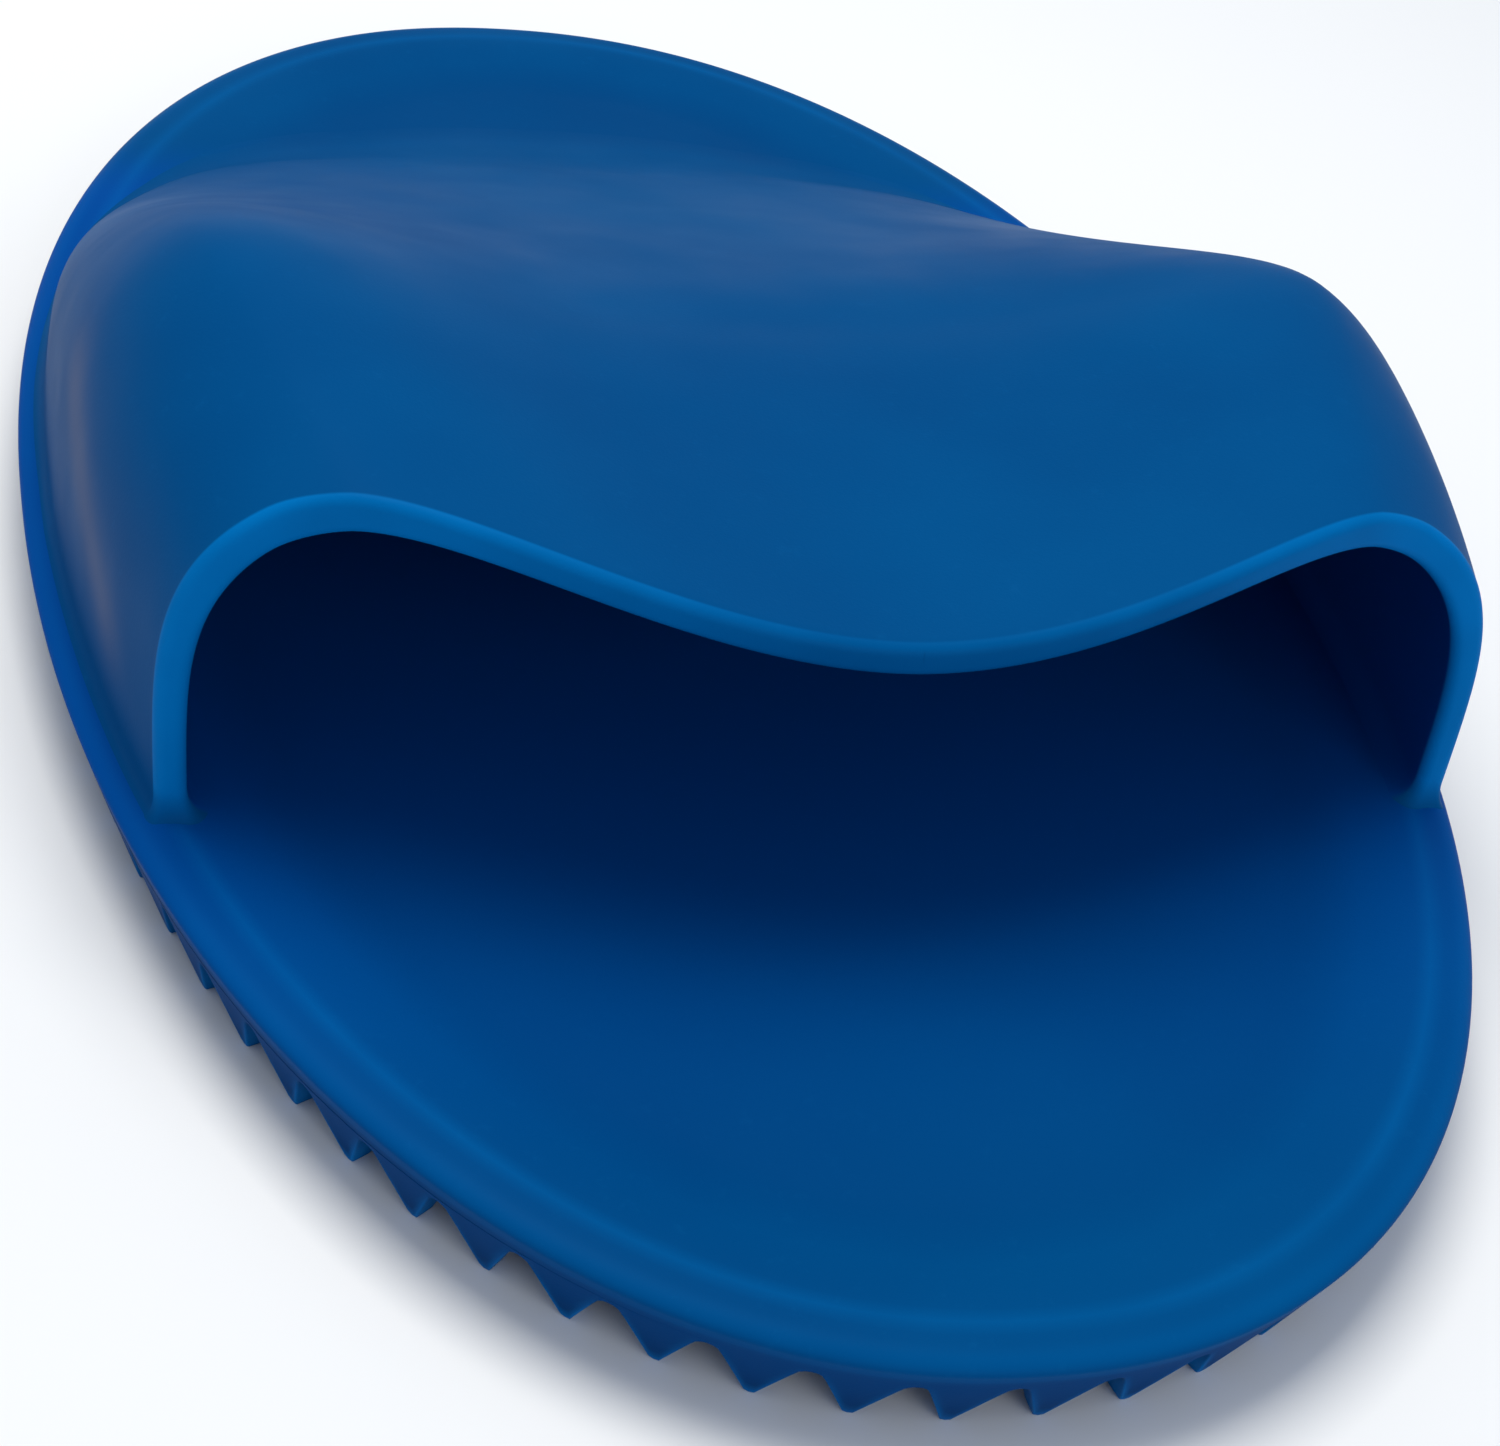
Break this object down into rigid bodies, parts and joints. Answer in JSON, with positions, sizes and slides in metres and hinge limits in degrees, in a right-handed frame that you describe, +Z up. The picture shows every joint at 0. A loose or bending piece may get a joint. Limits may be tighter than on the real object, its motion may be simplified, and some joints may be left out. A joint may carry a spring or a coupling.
{
  "type": "rubber curry brush",
  "caption": "Oval moulded rubber curry brush: a finger hood open at one end on top of a pad, with concentric saw-tooth walls below.",
  "frame": {"origin": "middle of the oval in the plane of the tooth tips, the lowest point of the brush", "axes": "+Y along the pad from the hood's open mouth to its closed toe, +X across the pad, +Z up through the pad and the hood"},
  "size_m": [0.0794, 0.13, 0.0265],
  "materials": {
    "blue_rubber": "satin moulded rubber"
  },
  "bodies": {
    "root": {"base_pad": "blue_rubber", "finger_hood": "blue_rubber", "rim_tooth_wall": "blue_rubber", "tooth_ring_1": "blue_rubber", "tooth_ring_2": "blue_rubber", "tooth_ring_3": "blue_rubber", "centre_tooth_ridge": "blue_rubber"}
  },
  "joints": []
}
